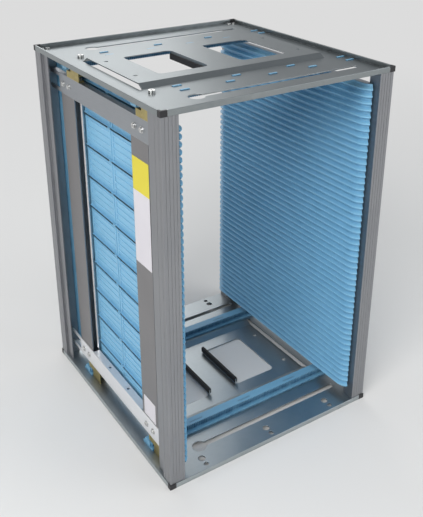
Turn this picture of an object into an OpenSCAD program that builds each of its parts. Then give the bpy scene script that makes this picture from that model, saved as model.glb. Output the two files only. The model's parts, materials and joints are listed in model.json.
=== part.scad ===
// Adjustable magazine rack for circuit boards.
// Frame: origin at the middle of the footprint on the floor, +Z up, open front towards -Y.
// The fixed side wall stands at +X. The movable side wall starts at -X and slides towards +X.

/* [Overall size] */
// Width across the two side walls
rack_w = 370; // [350:1:420]
// Depth from the open front to the open back
rack_d = 390; // [376:1:430]
// Height from the floor to the top rim
rack_h = 563; // [563:1:620]

/* [Pressed plates] */
// Sheet thickness of the top and bottom plates
sheet_t = 1.5; // [1.2:0.1:2]
// Height of the folded rim
rim_h = 8; // [8:0.5:10]
// Thickness of the folded rim
rim_t = 3; // [2.4:0.1:3.6]
// Edge radius of the folded rim
rim_round = 0.8; // [0.4:0.1:1]
// Length of the pressed centre panel
panel_l = 300; // [290:1:310]
// Gap between the foot of the pressing and the gear racks
panel_bar_gap = 5; // [3:0.5:8]
// Depth of the pressing
panel_step = 6; // [4:0.5:6]
// Width of the sloped side of the pressing
panel_slope = 10; // [6:0.5:10]
// Slit between each end of the panel and the plate
panel_gap = 3.5; // [2:0.5:8]
// Width of the hand grip between the two cutouts
bridge_w = 54; // [46:1:60]
// Width of each hand cutout
cutout_w = 79; // [70:1:82]
// Depth of each hand cutout
cutout_d = 108; // [100:1:116]
// Corner radius of the hand cutouts
cutout_round = 8; // [4:1:12]
// Height of the folded grip edge
grip_h = 10; // [8:0.5:12]
// Radius of the round end of a keyhole slot
keyhole_r = 11; // [9:0.5:12]
// Width of a keyhole slot
keyslot_w = 9; // [7:0.5:10]
// Distance of the keyhole slots from the front and back edges
keyhole_inset = 45; // [43:1:46]
// Place of the round end of the keyhole slots
keyhole_x = -108; // [-115:1:-100]
// Place of the far end of the keyhole slots
keyslot_end = 156; // [120:1:160]
// Radius of the large edge holes
edge_hole_r = 5.5; // [4:0.5:6]
// Distance of the large edge holes from the front and back edges
edge_hole_inset = 22; // [21:0.5:24]
// Spacing of the edge holes along the plate
edge_hole_pitch = 118.5; // [110:0.5:122]
// Radius of the small edge holes
pilot_hole_r = 3.75; // [2.5:0.25:4]
// Distance of the small edge holes from the front and back edges
pilot_hole_inset = 9; // [8:0.5:10]
// Radius of the small holes at the ends of the panel
panel_hole_r = 3; // [2:0.25:4]
// Distance of those holes from the end of the panel
panel_hole_inset = 14; // [8:0.5:20]
// Spacing of those holes across the panel
panel_hole_span = 88; // [70:1:100]
// Length of a corner cap along the front edge
cap_l = 10; // [8:0.5:10]
// Length of a corner cap along the side edge
cap_w = 7; // [6:0.5:7.5]

/* [Grip edges] */
// Thickness of the rubber edge guard
guard_t = 5; // [4:0.5:6]
// Height of the rubber edge guard
guard_h = 9; // [7:0.5:9.5]
// Length of the rubber edge guard
guard_l = 105; // [90:1:107]
// Clearance of the guard on the folded edge
guard_clear = 0.05; // [0.02:0.01:0.1]

/* [Columns] */
// Face width of the column tube
column_w = 24; // [20:0.5:24]
// Side depth of the column tube
column_d = 20; // [18:0.5:20]
// Wall thickness of the column tube
column_wall = 1.8; // [1.4:0.1:2.2]
// Inset of the columns from the plate edges
column_inset = 1.2; // [0.8:0.1:1.5]
// Recess of the side fin behind the outer face
fin_recess = 3.8; // [3:0.1:4.5]
// Thickness of the side fin
fin_t = 2; // [1.6:0.1:2.4]
// Length of the side fin
fin_l = 18; // [14:0.5:20]
// Depth of the fine grooves in the column faces
groove_t = 0.5; // [0.3:0.1:0.7]
// Width of the fine grooves
groove_w = 1; // [0.6:0.1:1.4]
// Spacing of the fine grooves
groove_pitch = 5; // [4:0.5:6]
// Radius of the screw ports inside the column
port_r = 2.1; // [1.9:0.05:2.3]
// Wall of the screw ports
port_wall = 1.9; // [1.5:0.1:2.2]
// Spacing of the two screw ports
port_pitch = 9; // [8.5:0.5:10]

/* [Board guides] */
// Least distance of the guide ends from the floor and the top
guide_end = 24.5; // [24:0.5:40]
// Pitch of the board slots
slot_pitch = 10; // [8.5:0.5:10]
// Depth of the board slots
slot_depth = 6; // [4:0.5:6]
// Width of a tooth at its root
tooth_root = 7.6; // [6:0.1:8]
// Width of a tooth at its tip
tooth_tip = 1.6; // [1:0.1:2.4]
// Plain margin beyond the first and last tooth
guide_margin = 2.7; // [1:0.1:4]
// Wall behind the slots
guide_wall = 3; // [2.4:0.1:3.6]
// Distance from the rack side to the tooth tips of the open wall
guide_in = 40; // [40:0.5:46]
// Distance of the flared ends from the front and back edges
flare_inset = 25; // [24:0.5:30]
// Radius of the flared ends at the tooth tips
flare_r = 21; // [21:0.5:24]
// Sweep of the flared ends
flare_angle = 55; // [45:1:55]
// Sweep of the tooth cuts, which run out past the end of the flare
flare_toothed = 56; // [30:1:60]
// Spacing of the stiffening ribs on the back
rib_pitch = 50; // [40:1:50]
// Height of the stiffening ribs
rib_h = 4.5; // [3:0.5:4.5]
// Thickness of the stiffening ribs
rib_t = 2.4; // [1.6:0.1:3]
// Height of the fine ridges between the ribs
ridge_h = 1.2; // [0.8:0.1:1.6]
// Thickness of the fine ridges
ridge_t = 1.8; // [1.2:0.1:2.4]
// Clearance between the rear shaft and the ribs
rib_clear = 4; // [3:0.5:12]
// Gap between the two ribbed panels
ribbed_gap = 5; // [3:0.5:8]

/* [Side frames] */
// Height of a crossbar
crossbar_h = 30; // [26:1:32]
// Sheet thickness of a crossbar
crossbar_t = 1.5; // [1.2:0.1:1.8]
// Distance of the crossbars from the floor and the top
crossbar_z = 31; // [30.5:0.5:34]
// Width of the crossbar flange beside the plate
crossbar_flange = 8.5; // [7:0.5:8.5]
// Width of the crossbar ledge between the strips
ledge_w = 12; // [10:0.5:13]
// Distance of the crossbar ends from the front and back edges
crossbar_inset = 24; // [23:0.5:26]
// Clearance between a pinion and the bracket beside it
web_clear = 0.5; // [0.3:0.1:0.8]
// Clearance between the rear shaft and the end of the ledge
ledge_gap = 2; // [1:0.5:4]
// Radius of the two holes in a ledge
ledge_hole_r = 2.5; // [2:0.25:3]
// Spacing of the two holes in a ledge
ledge_hole_span = 64; // [40:1:100]
// Length of the notch in the front end of a crossbar
front_notch_l = 28; // [24:1:32]
// Length of the notch in the back end of a crossbar
rear_notch_l = 35; // [28:1:36]
// Height of the notch in each crossbar end
notch_h = 18; // [14:1:20]
// Width of an upright strip
strip_w = 46; // [42:1:48]
// Wall thickness of an upright strip
strip_t = 2; // [1.6:0.1:2.2]
// Clearance between the front shaft and the strip beside it
leg_clear = 0.5; // [0.4:0.1:2]
// Spacing of the two legs of a strip
leg_gap = 17; // [14:0.5:17]
// Seat clearance at the strip ends
strip_clear = 0.3; // [0.2:0.1:0.5]

/* [Gear racks and pinions] */
// Gear module of the racks and pinions
gear_module = 1; // [0.9:0.05:1]
// Number of teeth on a pinion
pinion_teeth = 20; // [18:1:20]
// Height of a pinion
pinion_h = 6.5; // [5:0.5:6.5]
// Distance of the gear rack centres from the front and back edges
bar_inset = 88; // [87:0.5:89]
// Width of a gear rack base
bar_w = 28; // [27:0.5:28]
// Height of a gear rack base
bar_base = 3.5; // [3:0.1:3.8]
// Width of the toothed ridge
ridge_w = 16; // [14:0.5:16]
// Height of a gear rack
bar_h = 11; // [10:0.5:11]
// Distance of the gear racks from the side of the movable wall
bar_end = 12; // [11:0.5:13]
// Distance of the gear racks from the side of the fixed wall
bar_far_end = 5; // [4:0.5:8]
// Length of a clip tab
tab_l = 13; // [10:0.5:14]
// Width of a clip tab
tab_w = 3.4; // [3:0.1:4]
// Height of a clip tab above the plate
tab_h = 1.2; // [0.8:0.1:1.4]
// Clearance of a clip tab in its slot
tab_clear = 0.4; // [0.2:0.05:0.6]
// Distance between the two rows of clip tabs
tab_row_gap = 20; // [18:0.5:21]
// Distance of the first clip tab from the rack side
tab_start = 80; // [60:1:90]
// Distance of the last clip tab from the end of the gear rack
tab_end = 7; // [7:0.5:12]
// Distance of the gear rack screw from the rack side
bar_screw_in = 38; // [30:1:44]
// Head radius of a gear rack screw
bar_head_r = 4.5; // [4:0.1:5]
// Head height of a gear rack screw
bar_head_h = 4; // [3:0.1:4.5]
// Gap between a pinion shaft and the back of the guide
shaft_gap = 1; // [0.5:0.1:1.5]
// Radius of a pinion shaft
shaft_r = 3; // [2.5:0.1:3]
// Radial running clearance of a shaft in its bush
shaft_clear = 0.05; // [0.02:0.01:0.1]
// Clearance above the gear rack base
pinion_lift = 0.5; // [0.3:0.1:0.8]
// Backlash between the rack and the pinion
backlash = 0.3; // [0.25:0.05:0.4]
// Wall thickness of a bush
bush_wall = 1.5; // [1.2:0.1:1.6]
// Width of the bush flange
bush_flange = 1.5; // [1:0.1:1.5]
// Thickness of the bush flange
bush_flange_t = 1.2; // [1:0.1:1.4]
// Radius of a pinion hub beyond the shaft
hub_wall = 2.5; // [2:0.1:3]
// Axial play between a hub and its bush
hub_play = 0.3; // [0.2:0.1:0.5]

/* [Pinion brackets] */
// Sheet thickness of a bracket
bracket_t = 1.5; // [1.2:0.1:1.8]
// Height of the bracket shelf above the plate
shelf_z = 13; // [12.5:0.5:13]
// Length of a bracket in front of the shaft
bracket_front = 26; // [22:1:28]
// Length of a bracket behind the shaft
bracket_back = 16; // [14:1:16]
// Length of the bracket foot behind the shaft
foot_back = 1; // [0:0.5:1.5]
// Reach of the shelf beyond the shaft
shelf_reach = 6; // [5.5:0.5:6.5]
// Clearance of the bracket foot above the plate
foot_clear = 0.3; // [0.2:0.1:0.5]

/* [Screws and labels] */
// Shank radius of the small screws
screw_r = 2; // [1.5:0.1:2]
// Head radius of the small screws
head_r = 3.4; // [3:0.1:3.4]
// Head height of the small screws
head_h = 2.2; // [1.6:0.1:2.2]
// Clearance round a screw shank
screw_clear = 0.2; // [0.1:0.05:0.4]
// Length of the column screws inside the column
column_screw_l = 14; // [10:1:20]
// Depth of the cross recess in a screw head
recess_h = 1; // [0.6:0.1:1.2]
// Spacing of the screws that hold a strip
strip_screw_gap = 20; // [16:1:24]
// Spacing of the screws that hold a bracket
bracket_screw_gap = 28; // [20:1:30]
// Thickness of a label
label_t = 0.3; // [0.2:0.05:0.4]
// Margin beside the labels on their strip
label_margin = 1; // [1:0.5:6]
// Height of the yellow label
yellow_label_h = 47; // [30:1:60]
// Height of the white label
white_label_h = 107; // [80:1:120]
// Width of the small label
small_label_w = 34; // [20:1:40]
// Height of the small label
small_label_h = 34; // [20:1:36]
// Distance from the top to the seam between the two large labels
label_seam_drop = 136; // [120:1:160]

/* [Hidden] */

round_fn = 48;
small_fn = 24;
// Overlap that joins the shapes of one solid
join = 1;
// Extra length of a cutting tool past a face
past = 2;

half_w = rack_w / 2;
half_d = rack_d / 2;
front = -1;
rear = 1;
left = -1;
right = 1;
plate_top = rim_h;
plate_under = rim_h - sheet_t;
panel_top = plate_top - panel_step;
panel_under = panel_top - sheet_t;
column_top = rack_h - rim_h;

guide_depth = slot_depth + guide_wall;
// Number of board slots that fit the height
slot_count = floor((rack_h - 2 * guide_end - tooth_root - 2 * guide_margin) / slot_pitch);
guide_h = slot_count * slot_pitch + tooth_root + 2 * guide_margin;
guide_z = (rack_h - guide_h) / 2;
// Height of the first tooth's middle
tooth_z = guide_z + guide_margin + tooth_root / 2;
// Slope of a tooth flank
flank = (tooth_root - tooth_tip) / 2 / slot_depth;
straight_half = half_d - flare_inset;
movable_tip = -half_w + guide_in;
shaft_in = guide_in - guide_depth - shaft_gap - shaft_r;
pitch_r = gear_module * pinion_teeth / 2;
// Distance of the crossbar face from the rack side on the movable wall
wall_in = shaft_in - pitch_r - gear_module - web_clear - bracket_t;
// Depth of the movable side frame from tooth tips to crossbar face
movable_frame = guide_in - wall_in;
fin_inner = column_inset + fin_recess + fin_t;
fixed_tip = half_w - guide_in;
// Depth of the fixed side frame from tooth tips to column fin
fixed_frame = guide_in - fin_inner;

bar_y = half_d - bar_inset;
// Distance from a gear rack centre to its pinion shaft
shaft_offset = ridge_w / 2 - gear_module + pitch_r;
shaft_x = -half_w + shaft_in;
front_shaft_y = -bar_y - shaft_offset;
rear_shaft_y = bar_y - shaft_offset;

strip_y = -front_shaft_y - shaft_r - leg_clear - leg_gap / 2;
crossbar_end = half_d - crossbar_inset;
crossbar_top_z = rack_h - crossbar_z;
fin_screw_y = half_d - column_inset - column_d - fin_l / 2;
strip_z = crossbar_z + crossbar_t + strip_clear;
ledge_half = rear_shaft_y - shaft_r - ledge_gap;
ribbed_l = 2 * (rear_shaft_y - shaft_r - rib_clear);
panel_w = 2 * (bar_y - bar_w / 2 - panel_bar_gap - panel_slope);

bar_left = -half_w + bar_end;
bar_right = half_w - bar_far_end;
tab_first = -half_w + tab_start;
tab_last = bar_right - tab_end;
bar_top = plate_top + bar_h;
bar_base_top = plate_top + bar_base;
tooth_gap = PI * gear_module;
addendum = gear_module;
dedendum = 1.25 * gear_module;
pinion_z = bar_base_top + pinion_lift;
shelf_under = plate_top + shelf_z;
shelf_top = shelf_under + bracket_t;
shaft_z = pinion_z;
shaft_l = rack_h - 2 * shaft_z;
bush_r = shaft_r + shaft_clear + bush_wall;
label_w = strip_w - 2 * label_margin;
label_seam_z = rack_h - label_seam_drop;

// ---------- shared shapes ----------

module round_square(size, r) {
    square([size.x - 2 * r, size.y], center = true);
    square([size.x, size.y - 2 * r], center = true);
    for (sx = [left, right], sy = [front, rear])
        translate([sx * (size.x / 2 - r), sy * (size.y / 2 - r)])
            circle(r = r, $fn = round_fn);
}

module upside_down()
    translate([0, 0, rack_h])
        mirror([0, 0, 1])
            children();

module at_corners()
    for (sx = [left, right], sy = [front, rear])
        scale_sign(sx, sy)
            translate([-half_w, -half_d, 0])
                children();

module scale_sign(sx, sy)
    mirror([sx == right ? 1 : 0, 0, 0])
        mirror([0, sy == rear ? 1 : 0, 0])
            children();

// A pan head screw with its head's seat at the origin and its shank along +Z
module screw(shank_l, r = head_r, h = head_h) {
    difference() {
        translate([0, 0, -h])
            cylinder(r = r, h = h, $fn = round_fn);
        for (turn = [0, 90])
            rotate([0, 0, turn])
                translate([-r / 2, -recess_h / 2, -h - past])
                    cube([r, recess_h, recess_h + past]);
    }
    translate([0, 0, -join])
        cylinder(r = screw_r, h = shank_l + join, $fn = round_fn);
}

module screw_hole(depth)
    translate([0, 0, -past])
        cylinder(r = screw_r + screw_clear, h = depth + 2 * past, $fn = round_fn);

// ---------- pressed plates ----------

module rim_bar(length)
    rotate([90, 0, 90])
        linear_extrude(length, center = true)
            translate([rim_t / 2, rim_h / 2])
                round_square([rim_t, rim_h], rim_round);

module rim() {
    for (sy = [front, rear])
        scale_sign(left, sy)
            translate([0, -half_d, 0])
                rim_bar(rack_w - 2 * cap_l);
    for (sx = [left, right])
        scale_sign(sx, front)
            translate([-half_w, 0, 0])
                rotate([0, 0, -90])
                    rim_bar(rack_d - 2 * cap_w);
}

module web_outline() {
    square([rack_w - 2 * rim_t, rack_d - 2 * rim_t], center = true);
    square([rack_w - rim_t, rack_d - 2 * cap_w], center = true);
    square([rack_w - 2 * cap_l, rack_d - rim_t], center = true);
}

module panel_section() {
    foot = panel_w / 2 + panel_slope;
    flat = panel_w / 2;
    polygon([
        [-foot - join, plate_top], [-foot, plate_top], [-flat, panel_top], [flat, panel_top],
        [foot, plate_top], [foot + join, plate_top], [foot + join, plate_under], [foot, plate_under],
        [flat, panel_under], [-flat, panel_under], [-foot, plate_under], [-foot - join, plate_under]
    ]);
}

module grip_edges()
    for (sx = [left, right])
        scale_sign(sx, front)
            translate([-bridge_w / 2, -guard_l / 2, panel_under])
                cube([sheet_t, guard_l, sheet_t + grip_h]);

module keyhole_outline(sy)
    translate([0, sy * (half_d - keyhole_inset)]) {
        translate([keyhole_x, 0])
            circle(r = keyhole_r, $fn = round_fn);
        translate([keyhole_x, -keyslot_w / 2])
            square([keyslot_end - keyhole_x - keyslot_w / 2, keyslot_w]);
        translate([keyslot_end - keyslot_w / 2, 0])
            circle(d = keyslot_w, $fn = round_fn);
    }

module plate_cuts_outline() {
    for (sx = [left, right])
        translate([sx * (bridge_w + cutout_w) / 2, 0])
            round_square([cutout_w, cutout_d], cutout_round);
    for (sy = [front, rear])
        keyhole_outline(sy);
    for (sx = [left, right], sy = [front, rear])
        translate([sx * (panel_l / 2 - panel_hole_inset), sy * panel_hole_span / 2])
            circle(r = panel_hole_r, $fn = small_fn);
    for (sy = [front, rear])
        translate([0, sy * bar_y])
            tab_places()
                square([tab_l + 2 * tab_clear, tab_w + 2 * tab_clear], center = true);
    for (sy = [front, rear])
        translate([-half_w + bar_screw_in, sy * bar_y])
            circle(r = screw_r + screw_clear, $fn = round_fn);
    at_corners()
        port_places()
            circle(r = screw_r + screw_clear, $fn = round_fn);
}

module edge_holes_outline()
    for (sy = [front, rear], step = [-1:1])
        translate([step * edge_hole_pitch, 0]) {
            translate([0, sy * (half_d - edge_hole_inset)])
                circle(r = edge_hole_r, $fn = round_fn);
            translate([0, sy * (half_d - pilot_hole_inset)])
                circle(r = pilot_hole_r, $fn = round_fn);
        }

module pressed_plate(edge_holes) {
    difference() {
        union() {
            rim();
            translate([0, 0, plate_under])
                linear_extrude(sheet_t)
                    difference() {
                        web_outline();
                        square([panel_l + 2 * panel_gap, panel_w + 2 * panel_slope], center = true);
                    }
            rotate([90, 0, 90])
                linear_extrude(panel_l, center = true)
                    panel_section();
        }
        translate([0, 0, panel_under - past])
            linear_extrude(rim_h + 2 * past)
                plate_cuts_outline();
        if (edge_holes)
            translate([0, 0, plate_under - past])
                linear_extrude(sheet_t + 2 * past)
                    edge_holes_outline();
    }
    grip_edges();
}

module bottom_plate()
    color("lightslategray")
        pressed_plate(true);

module top_plate()
    color("slategray")
        upside_down()
            pressed_plate(false);

module corner_cap() {
    cube([cap_l, rim_t, rim_h]);
    cube([rim_t, cap_w, rim_h]);
}

module corner_caps()
    color("black") {
        at_corners()
            corner_cap();
        upside_down()
            at_corners()
                corner_cap();
    }

module grip_guard(sx) {
    edge_mid = (bridge_w - sheet_t) / 2;
    guard_top = panel_top + grip_h + guard_clear + (guard_t - sheet_t) / 2;
    translate([sx * edge_mid, 0, 0])
        difference() {
            translate([0, 0, guard_top - guard_h / 2])
                rotate([90, 0, 0])
                    linear_extrude(guard_l, center = true)
                        round_square([guard_t, guard_h], guard_t / 4);
            translate([-sheet_t / 2 - guard_clear, -guard_l, panel_top])
                cube([sheet_t + 2 * guard_clear, 2 * guard_l, grip_h + guard_clear]);
        }
}

module grip_guard_bottom_left()
    color("black")
        grip_guard(left);

module grip_guard_bottom_right()
    color("black")
        grip_guard(right);

module grip_guard_top_left()
    color("black")
        upside_down()
            grip_guard(left);

module grip_guard_top_right()
    color("black")
        upside_down()
            grip_guard(right);

// ---------- columns ----------

module port_places()
    for (side = [-1, 1])
        translate([column_inset + column_w / 2 + side * port_pitch / 2, column_inset + column_d / 2])
            children();

module column_section() {
    difference() {
        union() {
            translate([column_inset, column_inset])
                difference() {
                    square([column_w, column_d]);
                    translate([column_wall, column_wall])
                        square([column_w - 2 * column_wall, column_d - 2 * column_wall]);
                    for (x = [groove_pitch:groove_pitch:column_w - groove_w])
                        translate([x - groove_w / 2, -past])
                            square([groove_w, groove_t + past]);
                    for (y = [groove_pitch:groove_pitch:column_d - groove_pitch])
                        translate([-past, y - groove_w / 2])
                            square([groove_t + past, groove_w]);
                }
            port_places()
                circle(r = port_r + port_wall, $fn = round_fn);
            translate([column_inset, column_inset + column_d / 2 - port_wall / 2])
                square([column_w, port_wall]);
            translate([column_inset + fin_recess, column_inset + column_d - join])
                square([fin_t, fin_l + join]);
        }
        port_places()
            circle(r = port_r, $fn = round_fn);
    }
}

module column(sx, sy)
    scale_sign(sx, sy)
        translate([-half_w, -half_d, plate_top])
            linear_extrude(column_top - plate_top)
                column_section();

module column_front_left()
    color("gray")
        column(left, front);

module column_front_right()
    color("gray")
        difference() {
            column(right, front);
            fin_screw_holes();
        }

module column_rear_left()
    color("gray")
        column(left, rear);

module column_rear_right()
    color("gray")
        difference() {
            column(right, rear);
            fin_screw_holes();
        }

module column_screws()
    color("silver") {
        at_corners()
            port_places()
                translate([0, 0, plate_under])
                    screw(sheet_t + column_screw_l);
        upside_down()
            at_corners()
                port_places()
                    translate([0, 0, plate_under])
                        screw(sheet_t + column_screw_l);
    }

// ---------- gear racks ----------

module tab_row(count)
    for (place = [0:count - 1])
        translate([tab_first + place * (tab_last - tab_first) / (count - 1), 0])
            children();

module tab_places() {
    translate([0, -tab_row_gap / 2])
        tab_row(5)
            children();
    translate([0, tab_row_gap / 2])
        tab_row(4)
            children();
}

// Half width of a gear tooth at a height above its pitch line
function tooth_half(height) = tooth_gap / 4 - backlash / 2 - height * tan(20);

function rack_tooth_points(x, y) = [
    [x - tooth_half(-dedendum), y + dedendum],
    [x - tooth_half(addendum), y - addendum],
    [x + tooth_half(addendum), y - addendum],
    [x + tooth_half(-dedendum), y + dedendum]
];

module toothed_ridge() {
    pitch_y = addendum - ridge_w / 2;
    first = ceil((bar_left - shaft_x) / tooth_gap);
    last = floor((bar_right - shaft_x) / tooth_gap) - 1;
    polygon(concat(
        [[bar_left, ridge_w / 2], [bar_left, pitch_y + dedendum]],
        [for (k = [first:last]) each rack_tooth_points(shaft_x + (k + 0.5) * tooth_gap, pitch_y)],
        [[bar_right, pitch_y + dedendum], [bar_right, ridge_w / 2]]
    ));
}

module gear_rack(y)
    difference() {
        translate([0, y, 0]) {
            translate([bar_left, -bar_w / 2, plate_top])
                cube([bar_right - bar_left, bar_w, bar_base]);
            translate([0, 0, plate_top])
                linear_extrude(bar_h)
                    toothed_ridge();
            translate([0, 0, plate_under - tab_h])
                linear_extrude(sheet_t + tab_h + join)
                    tab_places()
                        square([tab_l, tab_w], center = true);
        }
        translate([-half_w + bar_screw_in, y, plate_top])
            screw_hole(bar_base);
    }

module gear_rack_bottom_front()
    color("steelblue")
        gear_rack(-bar_y);

module gear_rack_bottom_rear()
    color("steelblue")
        gear_rack(bar_y);

module gear_rack_top_front()
    color("steelblue")
        upside_down()
            gear_rack(-bar_y);

module gear_rack_top_rear()
    color("steelblue")
        upside_down()
            gear_rack(bar_y);

module bar_screw_pair()
    for (sy = [front, rear])
        translate([-half_w + bar_screw_in, sy * bar_y, plate_under])
            screw(sheet_t + bar_base, bar_head_r, bar_head_h);

module gear_rack_screws()
    color("silver") {
        bar_screw_pair();
        upside_down()
            bar_screw_pair();
    }

// ---------- board guides, drawn with x as the depth behind the tooth tips ----------

module comb_outline()
    polygon(concat(
        [[guide_depth, guide_z], [slot_depth, guide_z]],
        [for (k = [0:slot_count]) let (z = tooth_z + k * slot_pitch) each [
            [slot_depth, z - tooth_root / 2], [0, z - tooth_tip / 2],
            [0, z + tooth_tip / 2], [slot_depth, z + tooth_root / 2]
        ]],
        [[slot_depth, guide_z + guide_h], [guide_depth, guide_z + guide_h]]
    ));

// The space between two teeth, from the upper flank at one height to the lower flank at another
module slot_outline(low, high)
    polygon([
        [slot_depth, low + tooth_root / 2], [-join, low + tooth_tip / 2 - join * flank],
        [-join, high - tooth_tip / 2 + join * flank], [slot_depth, high - tooth_root / 2]
    ]);

module end_cut_outline(tooth, side)
    polygon([
        [slot_depth, tooth + side * tooth_root / 2],
        [-join, tooth + side * (tooth_tip / 2 - join * flank)],
        [-join, tooth + side * (tooth_root + guide_margin + past)],
        [slot_depth, tooth + side * (tooth_root + guide_margin + past)]
    ]);

module flare_cuts_outline() {
    for (k = [0:slot_count - 1])
        slot_outline(tooth_z + k * slot_pitch, tooth_z + (k + 1) * slot_pitch);
    end_cut_outline(tooth_z, -1);
    end_cut_outline(tooth_z + slot_count * slot_pitch, 1);
}

module flare()
    translate([flare_r, -straight_half, 0])
        rotate([0, 0, 180])
            difference() {
                rotate_extrude(angle = flare_angle, $fn = 96)
                    translate([flare_r - guide_depth, guide_z])
                        square([guide_depth, guide_h]);
                rotate_extrude(angle = flare_toothed, $fn = 96)
                    translate([flare_r, 0])
                        mirror([1, 0])
                            flare_cuts_outline();
            }

module guide_ribs() {
    half = ribbed_l / 2;
    rib_count = floor(guide_h / rib_pitch);
    ridge_count = floor(guide_h / slot_pitch);
    side_l = half - ribbed_gap / 2;
    for (sy = [front, rear])
        scale_sign(left, sy)
            translate([guide_depth - join, -half, 0]) {
                for (k = [0:rib_count])
                    translate([0, 0, guide_z + (guide_h - rib_count * rib_pitch - rib_t) / 2 + k * rib_pitch])
                        cube([rib_h + join, side_l, rib_t]);
                for (k = [0:ridge_count - 1])
                    translate([0, 0, guide_z + (guide_h - (ridge_count - 1) * slot_pitch - ridge_t) / 2 + k * slot_pitch])
                        cube([ridge_h + join, side_l, ridge_t]);
                for (y = [0, side_l - rib_t])
                    translate([0, y, guide_z])
                        cube([ridge_h + join, rib_t, guide_h]);
            }
}

module board_guide() {
    rotate([90, 0, 0])
        linear_extrude(2 * straight_half, center = true)
            comb_outline();
    flare();
    mirror([0, 1, 0])
        flare();
    guide_ribs();
}

// ---------- side frames, drawn with x as the depth behind the tooth tips ----------

module strip(frame_depth, sy) {
    web_x = frame_depth - crossbar_t - strip_t;
    translate([0, sy * strip_y, strip_z])
        difference() {
            union() {
                translate([web_x, -strip_w / 2, 0])
                    cube([strip_t, strip_w, rack_h - 2 * strip_z]);
                for (side = [-1, 1])
                    translate([guide_depth, side * (leg_gap - strip_t) / 2 - strip_t / 2, 0])
                        cube([web_x - guide_depth + join, strip_t, rack_h - 2 * strip_z]);
            }
            strip_screw_places(strip_z)
                translate([web_x, 0, 0])
                    rotate([0, 90, 0])
                        screw_hole(strip_t);
        }
}

// The two screws at both ends of one strip, measured from a given height
module strip_screw_places(base)
    for (z = [crossbar_z + crossbar_h / 2, crossbar_top_z - crossbar_h / 2], side = [-1, 1])
        translate([0, side * strip_screw_gap / 2, z - base])
            children();

module crossbar(frame_depth, notched) {
    face_x = frame_depth - crossbar_t;
    difference() {
        union() {
            translate([face_x, -crossbar_end, crossbar_z])
                cube([crossbar_t, 2 * crossbar_end, crossbar_h]);
            translate([frame_depth - crossbar_flange, -crossbar_end, crossbar_z])
                cube([crossbar_flange, 2 * crossbar_end, crossbar_t]);
            translate([frame_depth - ledge_w, -ledge_half, crossbar_z + crossbar_h - crossbar_t])
                cube([ledge_w, 2 * ledge_half, crossbar_t]);
        }
        if (notched)
            for (notch = [[front, front_notch_l], [rear, rear_notch_l]])
                translate([0, notch[0] * crossbar_end, crossbar_z + crossbar_h / 2])
                    cube([4 * frame_depth, 2 * notch[1], notch_h], center = true);
        for (sy = [front, rear]) {
            translate([frame_depth - ledge_w / 2, sy * ledge_hole_span / 2, crossbar_z + crossbar_h - crossbar_t - past])
                cylinder(r = ledge_hole_r, h = crossbar_t + 2 * past, $fn = small_fn);
            translate([face_x, sy * strip_y, 0])
                strip_screw_places(0)
                    rotate([0, 90, 0])
                        screw_hole(crossbar_t);
        }
    }
}

module strip_screws(frame_depth)
    for (sy = [front, rear])
        translate([frame_depth, sy * strip_y, 0])
            strip_screw_places(0)
                rotate([0, -90, 0])
                    screw(crossbar_t + strip_t + screw_r);

// ---------- fixed side ----------

module on_fixed_side()
    translate([fixed_tip, 0, 0])
        children();

module fin_screw_places()
    for (sy = [front, rear], z = [crossbar_z + crossbar_h / 2, crossbar_top_z - crossbar_h / 2])
        translate([half_w - fin_inner + fin_t, sy * fin_screw_y, z])
            rotate([0, -90, 0])
                children();

module fin_screw_holes()
    fin_screw_places()
        screw_hole(fin_t + crossbar_t);

module fixed_guide()
    color("skyblue")
        on_fixed_side()
            board_guide();

module fixed_strip_front()
    color("silver")
        on_fixed_side()
            strip(fixed_frame, front);

module fixed_strip_rear()
    color("silver")
        on_fixed_side()
            strip(fixed_frame, rear);

module fixed_crossbar()
    difference() {
        on_fixed_side()
            crossbar(fixed_frame, false);
        fin_screw_holes();
    }

module fixed_crossbar_bottom()
    color("lightgray")
        fixed_crossbar();

module fixed_crossbar_top()
    color("lightgray")
        upside_down()
            fixed_crossbar();

module fixed_wall_screws()
    color("silver") {
        on_fixed_side()
            strip_screws(fixed_frame);
        fin_screw_places()
            screw(fin_t + crossbar_t + screw_r);
    }

// ---------- movable side ----------

module on_movable_side()
    translate([movable_tip, 0, 0])
        mirror([1, 0, 0])
            children();

module movable_guide()
    color("skyblue")
        on_movable_side()
            board_guide();

module wall_strip_front()
    color("silver")
        on_movable_side()
            strip(movable_frame, front);

module wall_strip_rear()
    color("silver")
        on_movable_side()
            strip(movable_frame, rear);

module bracket_screw_places()
    for (y = [front_shaft_y, rear_shaft_y], side = [-1, 1])
        translate([
            -half_w + wall_in + bracket_t + (crossbar_flange - bracket_t) / 2,
            y + (bracket_back - bracket_front) / 2 + side * bracket_screw_gap / 2,
            crossbar_z - bracket_t
        ])
            children();

module wall_crossbar()
    difference() {
        on_movable_side()
            crossbar(movable_frame, true);
        bracket_screw_places()
            screw_hole(bracket_t + crossbar_t);
    }

module wall_crossbar_bottom()
    color("lightgray")
        wall_crossbar();

module wall_crossbar_top()
    color("lightgray")
        upside_down()
            wall_crossbar();

module wall_screws()
    color("silver")
        on_movable_side()
            strip_screws(movable_frame);

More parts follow.
